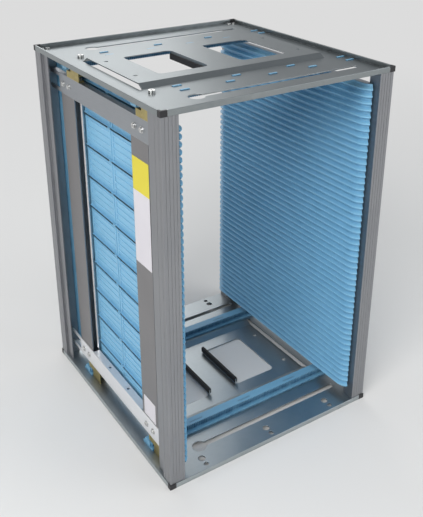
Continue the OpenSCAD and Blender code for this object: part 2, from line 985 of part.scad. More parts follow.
module bracket(y) {
    length = bracket_front + bracket_back;
    foot_z = plate_top + foot_clear;
    difference() {
        translate([-half_w + wall_in, y - bracket_front, 0]) {
            translate([0, 0, shelf_under])
                cube([bracket_t, length, crossbar_z - shelf_under]);
            translate([0, 0, foot_z])
                cube([bracket_t, bracket_front + foot_back, crossbar_z - foot_z]);
            translate([0, 0, shelf_under])
                cube([shaft_in - wall_in + shelf_reach, length, bracket_t]);
            translate([0, 0, crossbar_z - bracket_t])
                cube([crossbar_flange, length, bracket_t]);
        }
        translate([shaft_x, y, shelf_under - past])
            cylinder(r = bush_r, h = bracket_t + 2 * past, $fn = round_fn);
        bracket_screw_places()
            screw_hole(bracket_t);
    }
}

module bracket_bottom_front()
    color("goldenrod")
        bracket(front_shaft_y);

module bracket_bottom_rear()
    color("goldenrod")
        bracket(rear_shaft_y);

module bracket_top_front()
    color("goldenrod")
        upside_down()
            bracket(front_shaft_y);

module bracket_top_rear()
    color("goldenrod")
        upside_down()
            bracket(rear_shaft_y);

module bracket_screws()
    color("silver") {
        bracket_screw_places()
            screw(bracket_t + crossbar_t);
        upside_down()
            bracket_screw_places()
                screw(bracket_t + crossbar_t);
    }

module bush(y)
    translate([shaft_x, y, 0])
        difference() {
            union() {
                translate([0, 0, shelf_under])
                    cylinder(r = bush_r, h = bracket_t + join, $fn = round_fn);
                translate([0, 0, shelf_top])
                    cylinder(r = bush_r + bush_flange, h = bush_flange_t, $fn = round_fn);
            }
            translate([0, 0, shelf_under - past])
                cylinder(r = shaft_r + shaft_clear, h = bracket_t + bush_flange_t + 2 * past, $fn = round_fn);
        }

module shaft_bushes()
    color("darkgoldenrod") {
        for (y = [front_shaft_y, rear_shaft_y])
            bush(y);
        upside_down()
            for (y = [front_shaft_y, rear_shaft_y])
                bush(y);
    }

module label(low_z, width, height)
    on_movable_side()
        translate([movable_frame - crossbar_t, -strip_y - width / 2, low_z])
            cube([label_t, width, height]);

module yellow_label()
    color("gold")
        label(label_seam_z, label_w, yellow_label_h);

module white_label()
    color("white")
        label(label_seam_z - white_label_h, label_w, white_label_h);

module small_label()
    color("white")
        label(crossbar_z + crossbar_h + label_margin, small_label_w, small_label_h);

// ---------- pinion shafts ----------

module shaft(y)
    translate([shaft_x, y, shaft_z])
        cylinder(r = shaft_r, h = shaft_l, $fn = round_fn);

function pinion_tooth_points(turn) =
    let (
        root = [pitch_r - dedendum + backlash / 2, gear_module],
        tip = [pitch_r + addendum - backlash / 2, 0.3 * gear_module],
        side = [for (p = [[root.x, -root.y], [tip.x, -tip.y], [tip.x, tip.y], [root.x, root.y]]) p]
    )
    [for (p = side) [p.x * cos(turn) - p.y * sin(turn), p.x * sin(turn) + p.y * cos(turn)]];

module pinion(y)
    translate([shaft_x, y, pinion_z])
        difference() {
            union() {
                linear_extrude(pinion_h)
                    polygon([
                        for (k = [0:pinion_teeth - 1]) each pinion_tooth_points(90 + k * 360 / pinion_teeth)
                    ]);
                cylinder(r = shaft_r + hub_wall, h = shelf_under - hub_play - pinion_z, $fn = round_fn);
            }
            translate([0, 0, -past])
                cylinder(r = shaft_r + shaft_clear / 2, h = shelf_z + 2 * past, $fn = round_fn);
        }

module shaft_front()
    color("silver")
        shaft(front_shaft_y);

module pinion_front_bottom()
    color("darkgoldenrod")
        pinion(front_shaft_y);

module pinion_front_top()
    color("darkgoldenrod")
        upside_down()
            pinion(front_shaft_y);

module shaft_rear()
    color("silver")
        shaft(rear_shaft_y);

module pinion_rear_bottom()
    color("darkgoldenrod")
        pinion(rear_shaft_y);

module pinion_rear_top()
    color("darkgoldenrod")
        upside_down()
            pinion(rear_shaft_y);

bottom_plate();
top_plate();
corner_caps();
column_front_left();
column_front_right();
column_rear_left();
column_rear_right();
column_screws();
gear_rack_bottom_front();
gear_rack_bottom_rear();
gear_rack_top_front();
gear_rack_top_rear();
gear_rack_screws();
grip_guard_bottom_left();
grip_guard_bottom_right();
grip_guard_top_left();
grip_guard_top_right();
fixed_guide();
fixed_strip_front();
fixed_strip_rear();
fixed_crossbar_bottom();
fixed_crossbar_top();
fixed_wall_screws();
movable_guide();
wall_strip_front();
wall_strip_rear();
wall_crossbar_bottom();
wall_crossbar_top();
wall_screws();
bracket_bottom_front();
bracket_bottom_rear();
bracket_top_front();
bracket_top_rear();
bracket_screws();
shaft_bushes();
yellow_label();
white_label();
small_label();
shaft_front();
pinion_front_bottom();
pinion_front_top();
shaft_rear();
pinion_rear_bottom();
pinion_rear_top();
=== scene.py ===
import json
import math

import bmesh
import bpy
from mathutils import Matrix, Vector


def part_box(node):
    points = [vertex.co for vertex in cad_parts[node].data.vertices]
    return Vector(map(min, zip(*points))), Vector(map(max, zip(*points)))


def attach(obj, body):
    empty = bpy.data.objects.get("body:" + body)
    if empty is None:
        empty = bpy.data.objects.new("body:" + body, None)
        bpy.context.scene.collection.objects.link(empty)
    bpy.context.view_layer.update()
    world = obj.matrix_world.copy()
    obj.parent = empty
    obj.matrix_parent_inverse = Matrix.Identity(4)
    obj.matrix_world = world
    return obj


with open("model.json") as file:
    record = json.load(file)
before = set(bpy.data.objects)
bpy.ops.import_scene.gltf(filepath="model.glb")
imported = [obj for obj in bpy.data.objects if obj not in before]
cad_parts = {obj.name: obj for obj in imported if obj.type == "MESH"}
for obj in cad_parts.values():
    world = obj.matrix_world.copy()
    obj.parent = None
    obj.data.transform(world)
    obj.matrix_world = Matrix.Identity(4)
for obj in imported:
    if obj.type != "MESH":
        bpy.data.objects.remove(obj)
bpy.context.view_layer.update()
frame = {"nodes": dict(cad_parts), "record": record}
nodes = frame["nodes"]
print("frame loaded:", len(nodes), "nodes")

scene = bpy.context.scene
scene.view_settings.view_transform = "Standard"

mm = 0.001


# small helpers for node trees

def addNode(tree, kind, at=(0, 0), **settings):
    node = tree.nodes.new(kind)
    node.location = at
    for name, value in settings.items():
        setattr(node, name, value)
    return node


def linkAll(tree, pairs):
    for start, end in pairs:
        tree.links.new(start, end)


def newGroup(name, kind, ins, outs):
    group = bpy.data.node_groups.new(name, kind)
    for label, socketType, default in ins:
        socket = group.interface.new_socket(name=label, in_out="INPUT", socket_type=socketType)
        if default is not None:
            socket.default_value = default
    for label, socketType in outs:
        group.interface.new_socket(name=label, in_out="OUTPUT", socket_type=socketType)
    entry = addNode(group, "NodeGroupInput", (-900, 0))
    leave = addNode(group, "NodeGroupOutput", (900, 0))
    return group, entry, leave


def math2(tree, operation, a, b=None, at=(0, 0), clamp=False):
    node = addNode(tree, "ShaderNodeMath", at, operation=operation, use_clamp=clamp)
    for socket, value in zip(node.inputs, (a, b)):
        if value is None:
            continue
        if isinstance(value, (int, float)):
            socket.default_value = value
        else:
            tree.links.new(value, socket)
    return node.outputs[0]


# shared shader groups

# the edge settings feed the edge mask used for wear and a painted edge highlight; the reach and samples feed
# the ambient occlusion of the painted corner shade
wearAndShadeSettings = dict(
    edgeRadius=0.5 * mm, edgeSamples=6, edgeGain=4.0, edgeNoise=220, dustShadeReach=8 * mm, dustShadeSamples=4,
    speckScale=90, speckDetail=5)


def makeGrainGroup():
    # fine lines left by rolling, drawing or brushing; Stretch squeezes the pattern across the lines
    group, entry, leave = newGroup(
        "metalGrain", "ShaderNodeTree",
        [("Vector", "NodeSocketVector", None), ("Stretch", "NodeSocketVector", (1, 1, 1)),
         ("Scale", "NodeSocketFloat", 300), ("Contrast", "NodeSocketFloat", 1)],
        [("Lines", "NodeSocketFloat"), ("Height", "NodeSocketFloat")])
    links = group.links
    squeeze = addNode(group, "ShaderNodeVectorMath", (-700, 0), operation="MULTIPLY")
    links.new(entry.outputs["Vector"], squeeze.inputs[0])
    links.new(entry.outputs["Stretch"], squeeze.inputs[1])
    noise = addNode(group, "ShaderNodeTexNoise", (-500, 0), noise_dimensions="3D")
    noise.inputs["Detail"].default_value = 3
    noise.inputs["Roughness"].default_value = 0.6
    links.new(squeeze.outputs[0], noise.inputs["Vector"])
    links.new(entry.outputs["Scale"], noise.inputs["Scale"])
    centred = math2(group, "SUBTRACT", noise.outputs["Fac"], 0.5, (-300, 0))
    strong = math2(group, "MULTIPLY", centred, entry.outputs["Contrast"], (-100, 0))
    lines = math2(group, "ADD", strong, 0.5, (100, 0), clamp=True)
    links.new(lines, leave.inputs["Lines"])
    links.new(strong, leave.inputs["Height"])
    return group


def makeBloomGroup():
    # cloudy variation of a zinc coat with faint crystal cells
    group, entry, leave = newGroup(
        "zincBloom", "ShaderNodeTree",
        [("Vector", "NodeSocketVector", None), ("Cloud Scale", "NodeSocketFloat", 14),
         ("Cell Scale", "NodeSocketFloat", 160), ("Cell Amount", "NodeSocketFloat", 0.3)],
        [("Mask", "NodeSocketFloat")])
    links = group.links
    cloud = addNode(group, "ShaderNodeTexNoise", (-600, 150))
    cloud.inputs["Detail"].default_value = 4
    links.new(entry.outputs["Vector"], cloud.inputs["Vector"])
    links.new(entry.outputs["Cloud Scale"], cloud.inputs["Scale"])
    cells = addNode(group, "ShaderNodeTexVoronoi", (-600, -150), feature="F1")
    links.new(entry.outputs["Vector"], cells.inputs["Vector"])
    links.new(entry.outputs["Cell Scale"], cells.inputs["Scale"])
    tint = addNode(group, "ShaderNodeSeparateColor", (-400, -150))
    links.new(cells.outputs["Color"], tint.inputs[0])
    cellPart = math2(group, "SUBTRACT", tint.outputs[0], 0.5, (-200, -150))
    cellPart = math2(group, "MULTIPLY", cellPart, entry.outputs["Cell Amount"], (0, -150))
    mask = math2(group, "ADD", cloud.outputs["Fac"], cellPart, (200, 0), clamp=True)
    links.new(mask, leave.inputs["Mask"])
    return group


def makeEdgeGroup(s):
    # rounds the shading of sharp edges and gives a mask of them, broken up by noise; the materials use the
    # mask for wear and for a painted highlight along edges
    group, entry, leave = newGroup(
        "edgeWearAndHighlight", "ShaderNodeTree",
        [("Vector", "NodeSocketVector", None), ("Breakup", "NodeSocketFloat", 0.5)],
        [("Mask", "NodeSocketFloat"), ("Normal", "NodeSocketVector")])
    links = group.links
    bevel = addNode(group, "ShaderNodeBevel", (-600, 100), samples=s["edgeSamples"])
    bevel.inputs["Radius"].default_value = s["edgeRadius"]
    flat = addNode(group, "ShaderNodeNewGeometry", (-600, -100))
    dot = addNode(group, "ShaderNodeVectorMath", (-400, 0), operation="DOT_PRODUCT")
    links.new(bevel.outputs[0], dot.inputs[0])
    links.new(flat.outputs["True Normal"], dot.inputs[1])
    bend = math2(group, "SUBTRACT", 1.0, dot.outputs["Value"], (-200, 0))
    sharp = math2(group, "MULTIPLY", bend, s["edgeGain"], (0, 0), clamp=True)
    noise = addNode(group, "ShaderNodeTexNoise", (-400, -250))
    noise.inputs["Scale"].default_value = s["edgeNoise"]
    links.new(entry.outputs["Vector"], noise.inputs["Vector"])
    uneven = math2(group, "MULTIPLY", noise.outputs["Fac"], entry.outputs["Breakup"], (-200, -250))
    mask = math2(group, "SUBTRACT", sharp, uneven, (200, -100), clamp=True)
    links.new(mask, leave.inputs["Mask"])
    links.new(bevel.outputs[0], leave.inputs["Normal"])
    return group


def makeDustShadeGroup(s):
    # dust and painted shade: corners, creases and hollows found by ambient occlusion are darkened, broken up
    # by noise
    group, entry, leave = newGroup(
        "dustAndCornerShade", "ShaderNodeTree",
        [("Vector", "NodeSocketVector", None), ("Amount", "NodeSocketFloat", 0.3)],
        [("Mask", "NodeSocketFloat")])
    links = group.links
    corner = addNode(group, "ShaderNodeAmbientOcclusion", (-600, 150), samples=s["dustShadeSamples"])
    corner.inputs["Distance"].default_value = s["dustShadeReach"]
    hidden = math2(group, "SUBTRACT", 1.0, corner.outputs["AO"], (-400, 150), clamp=True)
    specks = addNode(group, "ShaderNodeTexNoise", (-600, -150))
    specks.inputs["Scale"].default_value = s["speckScale"]
    specks.inputs["Detail"].default_value = s["speckDetail"]
    links.new(entry.outputs["Vector"], specks.inputs["Vector"])
    mixed = math2(group, "MULTIPLY", hidden, specks.outputs["Fac"], (-200, 0))
    scaled = math2(group, "MULTIPLY", mixed, entry.outputs["Amount"], (0, 0), clamp=True)
    links.new(scaled, leave.inputs["Mask"])
    return group


grainGroup = makeGrainGroup()
bloomGroup = makeBloomGroup()
edgeGroup = makeEdgeGroup(wearAndShadeSettings)
dustShadeGroup = makeDustShadeGroup(wearAndShadeSettings)
print("shader groups made")


# materials

def placeGroup(tree, group, vector, at, **values):
    node = addNode(tree, "ShaderNodeGroup", at, node_tree=group)
    tree.links.new(vector, node.inputs["Vector"])
    for name, value in values.items():
        node.inputs[name.replace("_", " ")].default_value = value
    return node


def newMaterial(name):
    material = bpy.data.materials.new(name)
    material.use_nodes = True
    tree = material.node_tree
    tree.nodes.clear()
    output = addNode(tree, "ShaderNodeOutputMaterial", (1100, 0))
    shader = addNode(tree, "ShaderNodeBsdfPrincipled", (800, 0))
    tree.links.new(shader.outputs[0], output.inputs[0])
    coords = addNode(tree, "ShaderNodeTexCoord", (-1100, 0))
    return material, tree, shader, coords.outputs["Object"]


def mixColour(tree, factor, a, b, at):
    mix = addNode(tree, "ShaderNodeMix", at, data_type="RGBA")
    tree.links.new(factor, mix.inputs["Factor"])
    for socket, value in ((mix.inputs["A"], a), (mix.inputs["B"], b)):
        if isinstance(value, tuple):
            socket.default_value = (*value, 1)
        else:
            tree.links.new(value, socket)
    return mix.outputs["Result"]


def rangeOf(tree, value, low, high, at):
    node = addNode(tree, "ShaderNodeMapRange", at)
    tree.links.new(value, node.inputs["Value"])
    node.inputs["To Min"].default_value = low
    node.inputs["To Max"].default_value = high
    return node.outputs["Result"]


def makeMetal(name, look):
    material, tree, shader, coords = newMaterial(name)
    grain = placeGroup(tree, grainGroup, coords, (-800, 300), Stretch=look["stretch"],
                       Scale=look["grainScale"], Contrast=look["grainContrast"])
    bloom = placeGroup(tree, bloomGroup, coords, (-800, 0), Cloud_Scale=look["cloudScale"],
                       Cell_Scale=look["cellScale"], Cell_Amount=look["cellAmount"])
    edge = placeGroup(tree, edgeGroup, coords, (-800, -300), Breakup=look["edgeBreakup"])
    dustShade = placeGroup(tree, dustShadeGroup, coords, (-800, -550), Amount=look["dustShade"])
    tone = mixColour(tree, bloom.outputs["Mask"], look["dark"], look["light"], (-500, 200))
    lined = mixColour(tree, rangeOf(tree, grain.outputs["Lines"], 0, look["lineTint"], (-500, 450)),
                      tone, look["line"], (-250, 200))
    # painted highlight, partly wear: sharp edges take the lighter edge tone
    wornAndHighlit = mixColour(tree, edge.outputs["Mask"], lined, look["edge"], (0, 200))
    # painted shade, partly dust: corners and hollows take the darker corner tone
    dustShaded = mixColour(tree, dustShade.outputs["Mask"], wornAndHighlit, look["dustShadeTone"], (250, 200))
    tree.links.new(dustShaded, shader.inputs["Base Color"])
    rough = rangeOf(tree, grain.outputs["Lines"], look["roughLow"], look["roughHigh"], (-250, -100))
    bloomed = math2(tree, "MULTIPLY", bloom.outputs["Mask"], look["bloomRough"], (-250, -300))
    total = math2(tree, "ADD", rough, bloomed, (0, -150), clamp=True)
    tree.links.new(total, shader.inputs["Roughness"])
    bump = addNode(tree, "ShaderNodeBump", (300, -350))
    bump.inputs["Strength"].default_value = look["bump"]
    bump.inputs["Distance"].default_value = look["bumpDepth"]
    tree.links.new(grain.outputs["Height"], bump.inputs["Height"])
    tree.links.new(edge.outputs["Normal"], bump.inputs["Normal"])
    tree.links.new(bump.outputs[0], shader.inputs["Normal"])
    shader.inputs["Metallic"].default_value = look["metallic"]
    return material


# in each look the edge tone is a painted highlight along edges, partly wear, and the darker corner tone is
# painted shade in corners, partly dust
zincSheet = dict(
    stretch=(0.05, 1, 1), grainScale=900, grainContrast=1.2, cloudScale=11, cellScale=130, cellAmount=0.18,
    dark=(0.36, 0.41, 0.43), light=(0.50, 0.54, 0.55), line=(0.60, 0.62, 0.63), lineTint=0.35,
    edge=(0.88, 0.91, 0.94), dustShadeTone=(0.12, 0.12, 0.12), edgeBreakup=0.25, dustShade=0.8,
    roughLow=0.28, roughHigh=0.38, bloomRough=0.1, bump=0.12, bumpDepth=0.05 * mm, metallic=1.0)
# a darker copy of the zinc sheet for the top plate, which is the same galvanised sheet as the bottom plate:
# painted shade; its brighter edge tone is a painted highlight on the rims and its stronger, darker corner
# tone is painted shade along the rims
shadedTopSheet = dict(
    zincSheet, dark=(0.25, 0.28, 0.29), light=(0.34, 0.37, 0.375), line=(0.42, 0.44, 0.445),
    edge=(0.92, 0.94, 0.96), edgeBreakup=0.2, dustShadeTone=(0.05, 0.055, 0.06), dustShade=1.8)
columnMetal = dict(
    zincSheet, stretch=(1, 1, 0.02), grainScale=700, dark=(0.30, 0.31, 0.33), light=(0.38, 0.385, 0.40),
    line=(0.36, 0.36, 0.37), edge=(0.45, 0.455, 0.47), lineTint=0.15, roughLow=0.36, roughHigh=0.46,
    cellAmount=0.05, bump=0.04, dustShade=0.12)
stripMetal = dict(
    columnMetal, dark=(0.27, 0.265, 0.27), light=(0.34, 0.33, 0.335), roughLow=0.38, roughHigh=0.5)
# the darker copy of the crossbar zinc, used for three crossbars: painted shade
shadedCrossbar = dict(
    zincSheet, stretch=(1, 0.05, 1), dark=(0.28, 0.30, 0.33), light=(0.36, 0.38, 0.41),
    roughLow=0.28, roughHigh=0.38)
# a brighter, less metallic copy of the crossbar zinc for the wall's lit bottom crossbar: painted light
litCrossbar = dict(
    zincSheet, stretch=(1, 0.05, 1), dark=(0.76, 0.77, 0.80), light=(0.86, 0.87, 0.89),
    line=(0.92, 0.92, 0.93), dustShadeTone=(0.30, 0.24, 0.18), roughLow=0.22, roughHigh=0.32, metallic=0.55)
yellowZinc = dict(
    zincSheet, dark=(0.33, 0.27, 0.10), light=(0.55, 0.47, 0.20), line=(0.62, 0.50, 0.26), lineTint=0.3,
    edge=(0.70, 0.60, 0.34), cloudScale=60, cellScale=240, cellAmount=0.5, roughLow=0.3, roughHigh=0.42)
bushMetal = dict(
    zincSheet, stretch=(1, 1, 0.1), dark=(0.42, 0.31, 0.12), light=(0.60, 0.46, 0.20),
    line=(0.66, 0.52, 0.26), edge=(0.78, 0.66, 0.38), roughLow=0.25, roughHigh=0.35)
shaftMetal = dict(
    zincSheet, stretch=(1, 1, 0.05), dark=(0.60, 0.60, 0.61), light=(0.74, 0.74, 0.75),
    roughLow=0.18, roughHigh=0.28, cellAmount=0.05)
screwMetal = dict(
    zincSheet, stretch=(1, 1, 1), dark=(0.62, 0.62, 0.60), light=(0.82, 0.82, 0.80), line=(0.85, 0.85, 0.83),
    roughLow=0.18, roughHigh=0.28, cloudScale=200, dustShade=0.8)


def makePlastic(name, look):
    material, tree, shader, coords = newMaterial(name)
    mottle = addNode(tree, "ShaderNodeTexNoise", (-800, 300))
    mottle.inputs["Scale"].default_value = look["mottleScale"]
    mottle.inputs["Detail"].default_value = 4
    tree.links.new(coords, mottle.inputs["Vector"])
    pits = addNode(tree, "ShaderNodeTexNoise", (-800, 0))
    pits.inputs["Scale"].default_value = look["pitScale"]
    pits.inputs["Detail"].default_value = 2
    tree.links.new(coords, pits.inputs["Vector"])
    edge = placeGroup(tree, edgeGroup, coords, (-800, -300), Breakup=look["edgeBreakup"])
    dustShade = placeGroup(tree, dustShadeGroup, coords, (-800, -550), Amount=look["dustShade"])
    tone = mixColour(tree, rangeOf(tree, mottle.outputs["Fac"], 0, 1, (-600, 400)),
                     look["dark"], look["light"], (-400, 300))
    # painted highlight, partly wear: sharp edges take the lighter edge tone
    wornAndHighlit = mixColour(tree, edge.outputs["Mask"], tone, look["edge"], (-100, 300))
    # painted shade, partly dust: corners and hollows take the darker corner tone
    dustShaded = mixColour(tree, dustShade.outputs["Mask"], wornAndHighlit, look["dustShadeTone"], (200, 300))
    tree.links.new(dustShaded, shader.inputs["Base Color"])
    rough = rangeOf(tree, pits.outputs["Fac"], look["roughLow"], look["roughHigh"], (-400, 0))
    tree.links.new(rough, shader.inputs["Roughness"])
    bump = addNode(tree, "ShaderNodeBump", (300, -350))
    bump.inputs["Strength"].default_value = look["bump"]
    bump.inputs["Distance"].default_value = look["bumpDepth"]
    tree.links.new(pits.outputs["Fac"], bump.inputs["Height"])
    tree.links.new(edge.outputs["Normal"], bump.inputs["Normal"])
    tree.links.new(bump.outputs[0], shader.inputs["Normal"])
    shader.inputs["Specular IOR Level"].default_value = look["specular"]
    return material


bluePlastic = dict(
    mottleScale=18, pitScale=1400, dark=(0.19, 0.45, 0.66), light=(0.24, 0.51, 0.72),
    edge=(0.50, 0.74, 0.90), dustShadeTone=(0.07, 0.23, 0.39), edgeBreakup=0.3, dustShade=1.0,
    roughLow=0.34, roughHigh=0.44, bump=0.15, bumpDepth=0.04 * mm, specular=0.5)
rackPlastic = dict(
    bluePlastic, dark=(0.14, 0.34, 0.51), light=(0.19, 0.41, 0.58), dustShadeTone=(0.02, 0.09, 0.18), dustShade=2.2)
capPlastic = dict(
    bluePlastic, dark=(0.010, 0.010, 0.012), light=(0.022, 0.022, 0.025), edge=(0.06, 0.06, 0.065),
    dustShadeTone=(0.05, 0.05, 0.05), roughLow=0.4, roughHigh=0.55)
guardRubber = dict(
    capPlastic, dark=(0.008, 0.008, 0.009), light=(0.018, 0.018, 0.02), roughLow=0.5, roughHigh=0.65,
    mottleScale=60, specular=0.4)
yellowFilm = dict(
    bluePlastic, dark=(0.66, 0.56, 0.02), light=(0.74, 0.64, 0.03), edge=(0.9, 0.8, 0.3),
    dustShadeTone=(0.4, 0.3, 0.05), roughLow=0.3, roughHigh=0.4)
whiteFilm = dict(
    bluePlastic, dark=(0.62, 0.60, 0.65), light=(0.70, 0.68, 0.72), edge=(0.9, 0.9, 0.9),
    dustShadeTone=(0.4, 0.4, 0.4), roughLow=0.3, roughHigh=0.4)

finishes = {
    "galvanised_plate": makeMetal("zincSheet", zincSheet),
    "column_aluminium": makeMetal("columnMetal", columnMetal),
    "side_frame_steel": makeMetal("stripMetal", stripMetal),
    "yellow_zinc": makeMetal("yellowZinc", yellowZinc),
    "bush_brass": makeMetal("bushMetal", bushMetal),
    "shaft_steel": makeMetal("shaftMetal", shaftMetal),
    "screw_steel": makeMetal("screwMetal", screwMetal),
    "guide_plastic": makePlastic("bluePlastic", bluePlastic),
    "gear_rack_plastic": makePlastic("rackPlastic", rackPlastic),
    "cap_plastic": makePlastic("capPlastic", capPlastic),
    "guard_rubber": makePlastic("guardRubber", guardRubber),
    "yellow_film": makePlastic("yellowFilm", yellowFilm),
    "white_film": makePlastic("whiteFilm", whiteFilm),
}
ownFinishes = {
    # the top plate takes the darker copy of the zinc sheet: painted shade
    "top_plate": makeMetal("shadedTopSheet", shadedTopSheet),
    # the wall's bottom crossbar takes the lit copy: painted light
    "wall_crossbar_bottom": makeMetal("litCrossbar", litCrossbar),
}
# the other crossbars take the darker copy: painted shade
shadedCrossbarFinish = makeMetal("shadedCrossbar", shadedCrossbar)
for barNode in ("wall_crossbar_top", "fixed_crossbar_bottom", "fixed_crossbar_top"):
    ownFinishes[barNode] = shadedCrossbarFinish


def coat(node, material):
    slots = nodes[node].material_slots
    if not slots:
        nodes[node].data.materials.append(material)
    for slot in slots:
        slot.material = material


for entry in frame["record"]["subparts"]:
    node = entry["node"]
    coat(node, ownFinishes.get(node, finishes[entry["material_slot"]]))
print("materials assigned")


# repeated details

collarSides = 28


def newRowTree(name, ownSockets):
    # copies of one thing along a straight line; the caller links the thing to the socket it gets back
    tree = bpy.data.node_groups.new(name, "GeometryNodeTree")
    rowSockets = [("Count", "NodeSocketInt"), ("Start", "NodeSocketVector"), ("Step", "NodeSocketVector")]
    for label, kind in (*rowSockets, *ownSockets, ("Finish", "NodeSocketMaterial")):
        tree.interface.new_socket(name=label, in_out="INPUT", socket_type=kind)
    tree.interface.new_socket(name="Geometry", in_out="OUTPUT", socket_type="NodeSocketGeometry")
    entry = addNode(tree, "NodeGroupInput", (-900, 0))
    leave = addNode(tree, "NodeGroupOutput", (1000, 0))
    line = addNode(tree, "GeometryNodeMeshLine", (-300, 250), mode="OFFSET")
    place = addNode(tree, "GeometryNodeInstanceOnPoints", (200, 0))
    real = addNode(tree, "GeometryNodeRealizeInstances", (450, 0))
    finish = addNode(tree, "GeometryNodeSetMaterial", (700, 0))
    linkAll(tree, (
        (entry.outputs["Count"], line.inputs["Count"]),
        (entry.outputs["Start"], line.inputs["Start Location"]),
        (entry.outputs["Step"], line.inputs["Offset"]),
        (line.outputs[0], place.inputs["Points"]),
        (place.outputs[0], real.inputs[0]),
        (real.outputs[0], finish.inputs["Geometry"]),
        (entry.outputs["Finish"], finish.inputs["Material"]),
        (finish.outputs[0], leave.inputs[0])))
    return tree, entry, place.inputs["Instance"]


def makeRowTree():
    # a straight row of equal blocks
    tree, entry, instance = newRowTree("blockRow", [("Size", "NodeSocketVector")])
    block = addNode(tree, "GeometryNodeMeshCube", (-300, -150))
    linkAll(tree, ((entry.outputs["Size"], block.inputs["Size"]), (block.outputs[0], instance)))
    return tree


def makeCollarTree():
    # flat washers, one round each point of a row, with their axis along X
    tree, entry, instance = newRowTree("collarRow", [
        ("Radius", "NodeSocketFloat"), ("Wall", "NodeSocketFloat"), ("Thickness", "NodeSocketFloat")])
    ring = addNode(tree, "GeometryNodeCurvePrimitiveCircle", (-600, 0), mode="RADIUS")
    ring.inputs["Resolution"].default_value = collarSides
    section = addNode(tree, "GeometryNodeCurvePrimitiveQuadrilateral", (-600, -250), mode="RECTANGLE")
    sweep = addNode(tree, "GeometryNodeCurveToMesh", (-300, -100))
    turn = addNode(tree, "GeometryNodeTransform", (-50, -100))
    turn.inputs["Rotation"].default_value = (0, math.radians(90), 0)
    linkAll(tree, (
        (entry.outputs["Radius"], ring.inputs["Radius"]),
        (entry.outputs["Wall"], section.inputs["Width"]),
        (entry.outputs["Thickness"], section.inputs["Height"]),
        (ring.outputs[0], sweep.inputs[0]),
        (section.outputs[0], sweep.inputs[1]),
        (sweep.outputs[0], turn.inputs["Geometry"]),
        (turn.outputs[0], instance)))
    return tree


rowTree = makeRowTree()
collarTree = makeCollarTree()


def growRow(tree, **values):
    # runs one tree on an empty mesh and returns the plain result
    holder = bpy.data.objects.new("rowHolder", bpy.data.meshes.new("rowHolder"))
    scene.collection.objects.link(holder)
    modifier = holder.modifiers.new("row", "NODES")
    modifier.node_group = tree
    for item in tree.interface.items_tree:
        if item.item_type == "SOCKET" and item.in_out == "INPUT":
            modifier[item.identifier] = values[item.name]
    depsgraph = bpy.context.evaluated_depsgraph_get()
    mesh = bpy.data.meshes.new_from_object(holder.evaluated_get(depsgraph), depsgraph=depsgraph)
    holder.modifiers.remove(modifier)
    bpy.data.objects.remove(holder)
    return mesh


def joinRows(name, meshes, material, body):
    joined = bmesh.new()
    for mesh in meshes:
        joined.from_mesh(mesh)
    bmesh.ops.recalc_face_normals(joined, faces=joined.faces)
    mesh = bpy.data.meshes.new(name)
    joined.to_mesh(mesh)
    joined.free()
    mesh.materials.clear()
    mesh.materials.append(material)
    piece = bpy.data.objects.new(name, mesh)
    scene.collection.objects.link(piece)
    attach(piece, body)
    print(name, "made with", len(mesh.polygons), "faces")


rackRibs = dict(
    pitch=math.pi * mm, width=1.3 * mm, depth=0.8 * mm, height=2.6 * mm, sink=0.2 * mm, margin=4 * mm,
    drop=11 * mm, lift=0.4 * mm, markPitch=2.6 * mm, markSize=(1.5 * mm, 2.4 * mm, 0.3 * mm), markCount=9,
    markPlaces=(0.24, 0.50, 0.76), markShift=1 * mm, markSink=0.05 * mm)
markPlastic = makePlastic("markPlastic", dict(rackPlastic, dark=(0.05, 0.16, 0.26), light=(0.07, 0.20, 0.31)))


def makeRackRibs(s):
    # fine upright ribs on the front and back faces of the gear racks, and three groups of raised pips on top
    ribs, pips = [], []
    finish = finishes["gear_rack_plastic"]
    for level in ("bottom", "top"):
        for end in ("front", "rear"):
            low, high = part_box(f"gear_rack_{level}_{end}")
            length = high[0] - low[0]
            up = 1 if level == "bottom" else -1
            topZ = high[2] if up == 1 else low[2]
            baseZ = topZ - up * s["drop"]
            for side in (-1, 1):
                faceY = low[1] if side == -1 else high[1]
                start = (low[0] + s["margin"], faceY + side * (s["depth"] / 2 - s["sink"]),
                         baseZ + up * (s["lift"] + s["height"] / 2))
                ribs.append(growRow(
                    rowTree, Count=int((length - 2 * s["margin"]) / s["pitch"]), Start=start,
                    Step=(s["pitch"], 0, 0), Size=(s["width"], s["depth"], s["height"]), Finish=finish))
            for share in s["markPlaces"]:
                half = (s["markCount"] - 1) * s["markPitch"] / 2
                start = (low[0] + share * length - half, (low[1] + high[1]) / 2 - s["markShift"],
                         topZ + up * (s["markSize"][2] / 2 - s["markSink"]))
                pips.append(growRow(
                    rowTree, Count=s["markCount"], Start=start, Step=(s["markPitch"], 0, 0),
                    Size=s["markSize"], Finish=finish))
    joinRows("rackRibs", ribs, finish, "frame")
    joinRows("rackPips", pips, markPlastic, "frame")


makeRackRibs(rackRibs)


guideCrests = dict(lip=2.8 * mm, thick=0.5 * mm, gap=3.5 * mm, ribReach=90 * mm, flatness=0.05 * mm)


